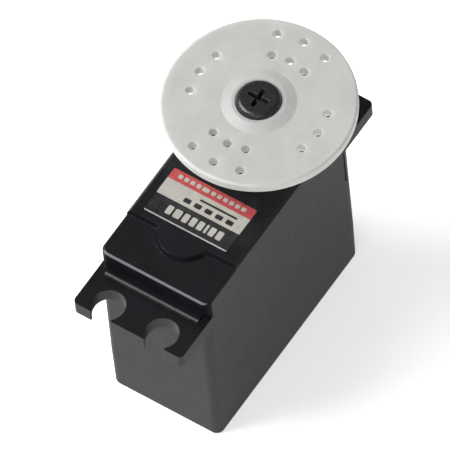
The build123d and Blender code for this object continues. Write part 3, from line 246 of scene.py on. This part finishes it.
def case_plastic():
    """Black moulded nylon: smooth gloss on the upper faces, fine spark-eroded grain on the walls."""
    s = Shader("case_black_nylon")
    up = s.upness()
    end_wall = s.glossy_walls(POLISHED_FROM)
    smooth = s.maths("MAXIMUM", up, end_wall)
    cloud = s.noise(260.0, detail=4.0)
    speckle = s.noise(3400.0, detail=2.0, roughness=0.7)
    wear = s.maths("MULTIPLY", s.edges(0.14 * MM), s.fit(s.noise(900.0, detail=5.0), 0.4, 0.68))
    wall = s.blend(s.fit(cloud, 0.3, 0.7), (0.0100, 0.0103, 0.0103), (0.0150, 0.0153, 0.0151))
    wall = s.blend(s.fit(speckle, 0.45, 0.75, 0.0, 0.6), wall, (0.036, 0.036, 0.035))
    top = s.blend(s.fit(cloud, 0.3, 0.7), (0.0055, 0.0056, 0.0068), (0.0085, 0.0088, 0.0108))
    color = s.blend(smooth, wall, top)
    color = s.blend(s.maths("MULTIPLY", wear, 0.35), color, (0.07, 0.072, 0.074))
    # Painted highlight: a light grey line on the rounded edge between the end wall and the roof at the motor
    # end.
    painted_edge_highlight = s.maths("MULTIPLY", s.slanted(), s.beyond(END_EDGE_X, END_EDGE_Z))
    color = s.blend(s.maths("MULTIPLY", painted_edge_highlight, 0.8), color, (0.19, 0.20, 0.21))
    smudge = s.fit(s.noise(420.0, detail=6.0, roughness=0.65, distortion=0.6), 0.35, 0.75)
    gloss_rough = s.lerp(smudge, 0.17, 0.30)
    wall_rough = s.lerp(s.fit(speckle, 0.3, 0.7), 0.44, 0.62)
    rough = s.lerp(up, wall_rough, gloss_rough)
    pits = s.cells(4300.0)
    grain = s.maths("ADD", s.maths("MULTIPLY", pits, 0.6), s.noise(6800.0, detail=2.0))
    strength = s.lerp(smooth, 0.62, 0.03)
    normal = s.bump(grain, 0.035 * MM, strength, s.rounded(0.07 * MM))
    waves = s.bump(s.noise(170.0, detail=1.0), 0.02 * MM, 0.5, normal)
    specular = s.lerp(up, s.lerp(end_wall, 0.22, 0.02), 0.44)
    return s.set(color=color, rough=rough, normal=waves, specular=specular, ior=1.5)


def horn_nylon():
    """Natural white nylon: milky, slightly translucent, satin skin with faint flow marks."""
    s = Shader("horn_white_nylon")
    cloud = s.noise(210.0, detail=4.0, roughness=0.55)
    fine = s.noise(1600.0, detail=3.0)
    color = s.blend(s.fit(cloud, 0.3, 0.7), (0.50, 0.505, 0.485), (0.565, 0.57, 0.548))
    color = s.blend(s.fit(fine, 0.5, 0.8, 0.0, 0.35), color, (0.45, 0.455, 0.44))
    grain = s.stretched(1.0, 0.18, 1.0, (0, 0, 0.6))
    scuffs = s.fit(s.noise(2200.0, detail=5.0, roughness=0.7, place=grain), 0.56, 0.7)
    worn = s.maths("MULTIPLY", s.maths("MULTIPLY", scuffs, s.edges(0.3 * MM)), 0.4)
    color = s.blend(worn, color, (0.38, 0.38, 0.365))
    rough = s.lerp(s.fit(fine, 0.3, 0.7), 0.36, 0.52)
    height = s.maths("ADD", s.maths("MULTIPLY", cloud, 0.5), s.maths("MULTIPLY", fine, 0.25))
    normal = s.bump(height, 0.05 * MM, 0.35, s.rounded(0.10 * MM))
    # Painted glow: a faint emission on the link-hole walls stands in for light carried through the milky
    # wall.
    low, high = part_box("horn")
    middle = (low + high) / 2
    painted_glow = s.maths("MULTIPLY", s.bores(tuple(middle), HORN_PAINTED_GLOW_REACH), HORN_PAINTED_GLOW)
    s.bsdf.inputs["Emission Color"].default_value = (0.95, 0.96, 0.92, 1.0)
    s.link(painted_glow, s.bsdf.inputs["Emission Strength"])
    return s.set(color=color, rough=rough, normal=normal, subsurface=0.6, scatter=2.2 * MM,
                 radius=Vector((1.0, 0.95, 0.85)), specular=0.45, ior=1.53)


def black_screw():
    """Black oxide steel: dark, glossy, brighter where the finish has rubbed off the edges."""
    s = Shader("screw_black_oxide")
    fine = s.noise(2600.0, detail=4.0)
    turned = s.noise(5200.0, detail=2.0)
    wear = s.maths("MULTIPLY", s.edges(0.12 * MM, 0.03, 0.3), s.fit(s.noise(1500.0, detail=5.0), 0.35, 0.7))
    color = s.blend(s.fit(fine, 0.3, 0.7), (0.018, 0.018, 0.020), (0.038, 0.038, 0.040))
    color = s.blend(wear, color, (0.20, 0.195, 0.19))
    rough = s.lerp(s.fit(turned, 0.3, 0.7), 0.20, 0.36)
    normal = s.bump(turned, 0.012 * MM, 0.4, s.rounded(0.08 * MM))
    return s.set(color=color, rough=rough, metal=0.35, normal=normal, specular=0.6)


def plastic(name, dark, light, rough=(0.4, 0.6), grain=3000.0, depth=0.02, coat=0.0):
    """Moulded or cast polymer with cloudy colour, fine grain and lighter worn edges."""
    s = Shader(name)
    cloud = s.noise(grain * 0.12, detail=4.0)
    fine = s.noise(grain, detail=3.0, roughness=0.6)
    color = s.blend(s.fit(cloud, 0.3, 0.7), dark, light)
    color = s.blend(s.fit(fine, 0.5, 0.8, 0.0, 0.3), color, tuple(min(1.0, c * 1.35 + 0.01) for c in light))
    patches = s.fit(s.noise(grain * 0.5, detail=4.0), 0.4, 0.7, 0.0, 0.5)
    wear = s.maths("MULTIPLY", s.edges(0.10 * MM), patches)
    color = s.blend(wear, color, tuple(min(1.0, c * 1.6 + 0.03) for c in light))
    normal = s.bump(fine, depth * MM, 0.5, s.rounded(0.05 * MM))
    return s.set(color=color, rough=s.lerp(s.fit(fine, 0.3, 0.7), *rough), normal=normal, coat=coat)


def metal(name, dark, light, rough=(0.22, 0.4), grain=2600.0, stretch=(1.0, 1.0, 1.0), depth=0.012):
    """Worked metal with directional tool marks, tarnish in random patches and bright edges."""
    s = Shader(name)
    marks = s.noise(grain, detail=4.0, roughness=0.65, place=s.stretched(*stretch))
    patch = s.noise(grain * 0.15, detail=5.0, roughness=0.6)
    color = s.blend(s.fit(marks, 0.3, 0.7), dark, light)
    dull = tuple(c * 0.55 for c in dark)
    color = s.blend(s.fit(patch, 0.52, 0.75, 0.0, 0.55), color, dull)
    shine = s.maths("MULTIPLY", s.edges(0.08 * MM), 0.5)
    color = s.blend(shine, color, tuple(min(1.0, c * 1.2 + 0.04) for c in light))
    base = s.lerp(s.fit(marks, 0.3, 0.7), *rough)
    rough_socket = s.maths("ADD", base, s.fit(patch, 0.5, 0.8, 0.0, 0.18))
    normal = s.bump(marks, depth * MM, 0.5, s.rounded(0.04 * MM))
    return s.set(color=color, rough=rough_socket, metal=1.0, normal=normal)


def wound_wire():
    """Enamelled copper wire laid in close turns."""
    s = Shader("winding_enamelled_wire")
    wave = s.node("ShaderNodeTexWave", wave_type="BANDS", bands_direction="X", wave_profile="SIN")
    s.link(s.stretched(1.0, 1.0, 1.0, (0.0, 0.0, 0.6)), wave.inputs["Vector"])
    wave.inputs["Scale"].default_value = 1400.0
    wave.inputs["Distortion"].default_value = 1.5
    turns = wave.outputs["Fac"]
    patch = s.noise(900.0, detail=4.0)
    color = s.blend(turns, (0.16, 0.045, 0.018), (0.62, 0.24, 0.10))
    color = s.blend(s.fit(patch, 0.4, 0.7, 0.0, 0.4), color, (0.40, 0.13, 0.05))
    normal = s.bump(turns, 0.06 * MM, 0.8)
    return s.set(color=color, rough=s.lerp(patch, 0.18, 0.34), metal=0.8, normal=normal, coat=0.6)


def board():
    """Green solder mask with copper showing faintly through in a track pattern."""
    s = Shader("board_solder_mask")
    brick = s.node("ShaderNodeTexBrick", offset=0.35)
    s.link(s.place, brick.inputs["Vector"])
    brick.inputs["Scale"].default_value = 420.0
    brick.inputs["Mortar Size"].default_value = 0.03
    brick.inputs["Color1"].default_value = (0.0, 0.0, 0.0, 1.0)
    brick.inputs["Color2"].default_value = (0.15, 0.15, 0.15, 1.0)
    brick.inputs["Mortar"].default_value = (1.0, 1.0, 1.0, 1.0)
    tracks = brick.outputs["Fac"]
    cloud = s.noise(500.0, detail=3.0)
    color = s.blend(s.fit(cloud, 0.3, 0.7), (0.012, 0.085, 0.034), (0.02, 0.12, 0.05))
    color = s.blend(s.maths("MULTIPLY", tracks, 0.7), color, (0.07, 0.26, 0.10))
    normal = s.bump(tracks, 0.03 * MM, 0.6, s.rounded(0.05 * MM))
    return s.set(color=color, rough=s.lerp(cloud, 0.25, 0.42), normal=normal, coat=0.3)


def printed(name, low, high, rough=(0.22, 0.38), flecks=(0.0, 0.0, 0.0)):
    """Printed film: ink with slight mottling, flecks and tiny scratches."""
    s = Shader(name)
    cloud = s.noise(900.0, detail=4.0)
    dots = s.noise(5200.0, detail=2.0)
    color = s.blend(s.fit(cloud, 0.3, 0.7), low, high)
    color = s.blend(s.fit(dots, 0.58, 0.8, 0.0, 0.3), color, flecks)
    along = s.stretched(0.1, 1.0, 1.0, (0, 0, 0.5))
    lines = s.noise(3800.0, detail=4.0, roughness=0.75, place=along)
    scratches = s.fit(lines, 0.63, 0.74, 0.0, 0.25)
    color = s.blend(scratches, color, tuple(0.5 * c + 0.25 for c in high))
    normal = s.bump(s.noise(1300.0, detail=3.0), 0.012 * MM, 0.4, s.rounded(0.04 * MM))
    return s.set(color=color, rough=s.lerp(cloud, *rough), normal=normal, coat=0.25, coat_rough=0.12)


finishes = {
    "case_plastic": case_plastic(),
    "screw_black": black_screw(),
    "label_film": printed("label_white_film", (0.62, 0.60, 0.56),
                          (0.70, 0.68, 0.64), flecks=(0.4, 0.38, 0.36)),
    "can_steel": metal("motor_can_steel", (0.50, 0.51, 0.53), (0.68, 0.69, 0.71),
                       (0.2, 0.34), 2200.0, (1, 1, 0.08)),
    "magnet": plastic("magnet_ferrite", (0.035, 0.035, 0.038), (0.06, 0.06, 0.065),
                      (0.55, 0.75), 4200.0, 0.05),
    "end_cap_plastic": plastic("end_cap_moulding", (0.70, 0.69, 0.64), (0.80, 0.79, 0.75), (0.35, 0.5)),
    "bronze": metal("sintered_bronze", (0.42, 0.26, 0.12), (0.58, 0.40, 0.20),
                    (0.35, 0.55), 4600.0, depth=0.03),
    "copper": metal("copper_alloy", (0.58, 0.28, 0.15), (0.80, 0.46, 0.28),
                    (0.18, 0.35), 2600.0, (1, 1, 0.1)),
    "winding_copper": wound_wire(),
    "shaft_steel": metal("ground_steel", (0.60, 0.61, 0.63), (0.80, 0.81, 0.83),
                         (0.1, 0.2), 3600.0, (1, 1, 0.06)),
    "core_steel": metal("lamination_steel", (0.22, 0.23, 0.25), (0.40, 0.41, 0.43), (0.35, 0.5), 2600.0,
                        (0.05, 0.05, 2.2), 0.05),
    "screw_steel": metal("zinc_screw", (0.50, 0.50, 0.52), (0.68, 0.68, 0.70), (0.22, 0.38)),
    "brass": metal("gear_brass", (0.62, 0.42, 0.16), (0.83, 0.63, 0.31), (0.2, 0.36), 3000.0, (1, 1, 0.15)),
    "gear_steel": metal("gear_sintered_steel", (0.36, 0.36, 0.37), (0.56, 0.56, 0.57),
                        (0.3, 0.48), 4200.0, depth=0.02),
    "bearing_steel": metal("bearing_steel", (0.68, 0.69, 0.71), (0.86, 0.87, 0.89),
                           (0.06, 0.16), 3600.0, (1, 1, 0.2)),
    "cage_brass": metal("cage_brass", (0.58, 0.40, 0.16), (0.78, 0.58, 0.28), (0.25, 0.4)),
    "horn_nylon": horn_nylon(),
    "pot_shell": plastic("pot_shell", (0.03, 0.03, 0.034), (0.05, 0.05, 0.055)),
    "pot_wafer": plastic("pot_phenolic", (0.22, 0.12, 0.06), (0.34, 0.20, 0.11), (0.45, 0.6), 3600.0),
    "pot_nylon": plastic("pot_rotor_nylon", (0.64, 0.64, 0.60), (0.76, 0.76, 0.72), (0.35, 0.5)),
    "lead_sleeve": plastic("lead_insulation", (0.34, 0.02, 0.015), (0.48, 0.04, 0.03), (0.35, 0.5)),
    "board_green": board(),
    "chip_black": plastic("chip_epoxy", (0.016, 0.016, 0.017), (0.03, 0.03, 0.032),
                          (0.5, 0.7), 5200.0, 0.03),
    "passive_tan": plastic("passive_ceramic", (0.28, 0.19, 0.11), (0.44, 0.33, 0.22), (0.35, 0.55), 3600.0),
    "capacitor_yellow": plastic("capacitor_resin", (0.60, 0.33, 0.03), (0.78, 0.48, 0.07),
                                (0.3, 0.5), 2600.0),
    "grommet_rubber": plastic("grommet_rubber", (0.016, 0.016, 0.017), (0.028, 0.028, 0.030),
                              (0.55, 0.75), 3200.0, 0.03),
}

slot_of = {s["node"]: s["material_slot"] for s in frame["record"]["subparts"]}
for name, node in nodes.items():
    node.data.materials.clear()
    node.data.materials.append(finishes[slot_of[name]])


# ------------------------------------------------------------------------------------------------
# Label: a thin printed film with plain colour bands and plain bars where print would be
# ------------------------------------------------------------------------------------------------

label_low, label_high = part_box("label")
label_span_x = label_high.x - label_low.x
label_span_y = label_high.y - label_low.y

band_red = printed("label_red_ink", (0.40, 0.050, 0.055), (0.48, 0.070, 0.075),
                   flecks=(0.55, 0.24, 0.24))
band_white = printed("label_pale_ink", (0.40, 0.385, 0.345), (0.47, 0.455, 0.41),
                     flecks=(0.33, 0.31, 0.28))
band_black = printed("label_black_ink", (0.010, 0.010, 0.011), (0.020, 0.020, 0.022),
                     flecks=(0.08, 0.08, 0.08))
band_silver = printed("label_silver_edge", (0.34, 0.34, 0.35), (0.46, 0.46, 0.47),
                      flecks=(0.7, 0.7, 0.7))

# Share of the label's length, from its motor end: silver hairline, black, pale, red.
SILVER_END, BLACK_END, PALE_END = 0.022, 0.414, 0.772


def rounded_outline(low, high, radius, steps=6):
    """Corner-rounded rectangle, counter-clockwise."""
    points = []
    corners = [(high.x - radius, high.y - radius, 0.0), (low.x + radius, high.y - radius, 0.5),
               (low.x + radius, low.y + radius, 1.0), (high.x - radius, low.y + radius, 1.5)]
    for cx, cy, start in corners:
        for i in range(steps + 1):
            a = (start + 0.5 * i / steps) * math.pi
            points.append((cx + radius * math.cos(a), cy + radius * math.sin(a)))
    return points


def mesh_object(name, bm, materials):
    mesh = bpy.data.meshes.new(name)
    bm.normal_update()
    bm.to_mesh(mesh)
    bm.free()
    made = bpy.data.objects.new(name, mesh)
    bpy.context.scene.collection.objects.link(made)
    for m in materials:
        mesh.materials.append(m)
    return made


def make_label():
    """Sheet whose rim is rolled down onto the case, cut into its colour bands."""
    bm = bmesh.new()
    foot, top = label_low.z, label_high.z
    rim = 0.05 * MM
    thick = top - foot
    layers = [(0.0, foot), (0.0, foot + 0.6 * thick), (0.4 * rim, foot + 0.9 * thick), (rim, top)]
    rings = []
    for inset, z in layers:
        ring = rounded_outline(label_low + Vector((inset, inset, 0)), label_high - Vector((inset, inset, 0)),
                               0.25 * MM - inset)
        rings.append([bm.verts.new((x, y, z)) for x, y in ring])
    count = len(rings[0])
    for lower, upper in zip(rings, rings[1:]):
        for i in range(count):
            bm.faces.new((lower[i], lower[(i + 1) % count], upper[(i + 1) % count], upper[i]))
    bm.faces.new(rings[-1])
    bm.faces.new(list(reversed(rings[0])))
    for share in (SILVER_END, BLACK_END, PALE_END):
        cut = Vector((label_low.x + share * label_span_x, 0.0, 0.0))
        whole = bm.verts[:] + bm.edges[:] + bm.faces[:]
        bmesh.ops.bisect_plane(bm, geom=whole, plane_co=cut, plane_no=(1, 0, 0))
    for face in bm.faces:
        share = (face.calc_center_median().x - label_low.x) / label_span_x
        face.material_index = sum(share > limit for limit in (SILVER_END, BLACK_END, PALE_END))
        face.smooth = False
    return mesh_object("label_sheet", bm, [band_silver, band_black, band_white, band_red])


def make_print():
    """Plain bars in rows, standing for print without saying anything."""
    bm = bmesh.new()
    thick = 0.012 * MM
    base = label_high.z

    def bar(x0, x1, y0, y1, index):
        outline = rounded_outline(Vector((x0, y0, 0)), Vector((x1, y1, 0)), min(x1 - x0, y1 - y0) * 0.22, 3)
        low = [bm.verts.new((x, y, base - 0.004 * MM)) for x, y in outline]
        high = [bm.verts.new((x, y, base + thick)) for x, y in outline]
        n = len(outline)
        faces = [bm.faces.new(high), bm.faces.new(list(reversed(low)))]
        faces += [bm.faces.new((low[i], low[(i + 1) % n], high[(i + 1) % n], high[i])) for i in range(n)]
        for face in faces:
            face.material_index = index

    def row(centre, width, y_start, lengths, gap, index):
        x = label_low.x + centre * label_span_x
        y = label_low.y + y_start * label_span_y
        for length in lengths:
            bar(x - width / 2, x + width / 2, y, y + length, index)
            y += length + gap

    row(0.890, 0.62 * MM, 0.10, [0.62 * MM] * 6 + [1.0 * MM] + [0.62 * MM] * 4, 0.30 * MM, 0)
    row(0.665, 0.30 * MM, 0.12, [5.6 * MM], 0.0, 1)
    row(0.530, 0.70 * MM, 0.12, [1.05 * MM] * 5, 0.55 * MM, 1)
    row(0.215, 1.35 * MM, 0.13, [0.82 * MM, 0.82 * MM, 0.35 * MM, 0.82 * MM, 0.82 * MM, 0.82 * MM, 1.05 * MM,
                                0.82 * MM], 0.30 * MM, 0)
    return mesh_object("label_bars", bm, [band_white, band_black])


label_sheet = make_label()
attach(label_sheet, "case")
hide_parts("label")
label_bars = make_print()
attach(label_bars, "case")


# ------------------------------------------------------------------------------------------------
# Floor, light and camera
# ------------------------------------------------------------------------------------------------

def make_floor():
    bm = bmesh.new()
    bmesh.ops.create_grid(bm, x_segments=8, y_segments=8, size=6.0)
    floor = mesh_object("studio_floor", bm, [])
    floor.location.z = cad_low.z - 0.02 * MM
    s = Shader("floor_white_paper")
    fine = s.noise(260.0, detail=3.0)
    color = s.blend(s.fit(fine, 0.3, 0.7), (0.93, 0.93, 0.93), (0.95, 0.95, 0.95))
    s.bsdf.inputs["Emission Color"].default_value = (1.0, 1.0, 1.0, 1.0)
    s.bsdf.inputs["Emission Strength"].default_value = 0.56
    grain = s.bump(fine, 0.01 * MM, 0.2)
    floor.data.materials.append(s.set(color=color, rough=0.9, normal=grain, specular=0.0))
    return floor


def make_light(name, direction, distance, size, power, tint=(1.0, 1.0, 1.0)):
    light = bpy.data.lights.new(name, "AREA")
    light.shape = "RECTANGLE"
    light.size, light.size_y = size
    light.energy = power
    light.color = tint
    holder = bpy.data.objects.new(name, light)
    bpy.context.scene.collection.objects.link(holder)
    towards = Vector(direction).normalized()
    holder.location = Vector((0, 0, 0.02)) + towards * distance
    holder.rotation_mode = "QUATERNION"
    holder.rotation_quaternion = (-towards).to_track_quat("-Z", "Y")
    holder.visible_camera = False
    return holder


def make_world():
    world = bpy.data.worlds.new("studio")
    bpy.context.scene.world = world
    world.use_nodes = True
    tree = world.node_tree
    tree.nodes.clear()
    output = tree.nodes.new("ShaderNodeOutputWorld")
    seen = tree.nodes.new("ShaderNodeBackground")
    seen.inputs["Color"].default_value = (1.0, 1.0, 1.0, 1.0)
    room = tree.nodes.new("ShaderNodeBackground")
    room.inputs["Color"].default_value = (0.95, 0.97, 1.0, 1.0)
    room.inputs["Strength"].default_value = 0.22
    path = tree.nodes.new("ShaderNodeLightPath")
    mix = tree.nodes.new("ShaderNodeMixShader")
    tree.links.new(path.outputs["Is Camera Ray"], mix.inputs[0])
    tree.links.new(room.outputs[0], mix.inputs[1])
    tree.links.new(seen.outputs[0], mix.inputs[2])
    tree.links.new(mix.outputs[0], output.inputs["Surface"])


make_floor()
make_world()
make_light("key", (-0.34, 0.59, 0.73), 1.0, (0.7, 0.7), 13.0)
make_light("fill_left", (-0.9, -0.25, 0.55), 1.1, (0.8, 0.5), 2.3)
make_light("fill_right", (0.75, -0.7, 0.5), 1.2, (0.8, 0.6), 0.2)

bpy.context.scene.view_settings.view_transform = "Standard"

# The camera stands far off with a long lens, so the case's parallel edges stay nearly parallel.
AZIMUTH, ELEVATION, ROLL = math.radians(-51.5615), math.radians(57.6306), math.radians(-6.2183)
SIGHT_HEIGHT = 15.0 * MM
CAMERA_DISTANCE = 2.5
LENS = 1563.0
AIM_RIGHT, AIM_UP = -0.535 * MM, 3.699 * MM

flat = math.cos(ELEVATION)
back = Vector((math.sin(AZIMUTH) * flat, -math.cos(AZIMUTH) * flat, math.sin(ELEVATION)))
level_right = (-back).cross(Vector((0, 0, 1))).normalized()
level_up = level_right.cross(-back)
right = math.cos(ROLL) * level_right + math.sin(ROLL) * level_up
up = -math.sin(ROLL) * level_right + math.cos(ROLL) * level_up
aim = Vector((0, 0, cad_low.z + SIGHT_HEIGHT)) + AIM_RIGHT * right + AIM_UP * up
lens = bpy.data.cameras.new("camera")
lens.lens = LENS
lens.sensor_width = 36.0
lens.clip_start, lens.clip_end = 0.01, 50.0
camera = bpy.data.objects.new("camera", lens)
bpy.context.scene.collection.objects.link(camera)
turn = Matrix((right, up, back)).transposed().to_4x4()
camera.matrix_world = Matrix.Translation(aim + back * CAMERA_DISTANCE) @ turn
bpy.context.scene.camera = camera
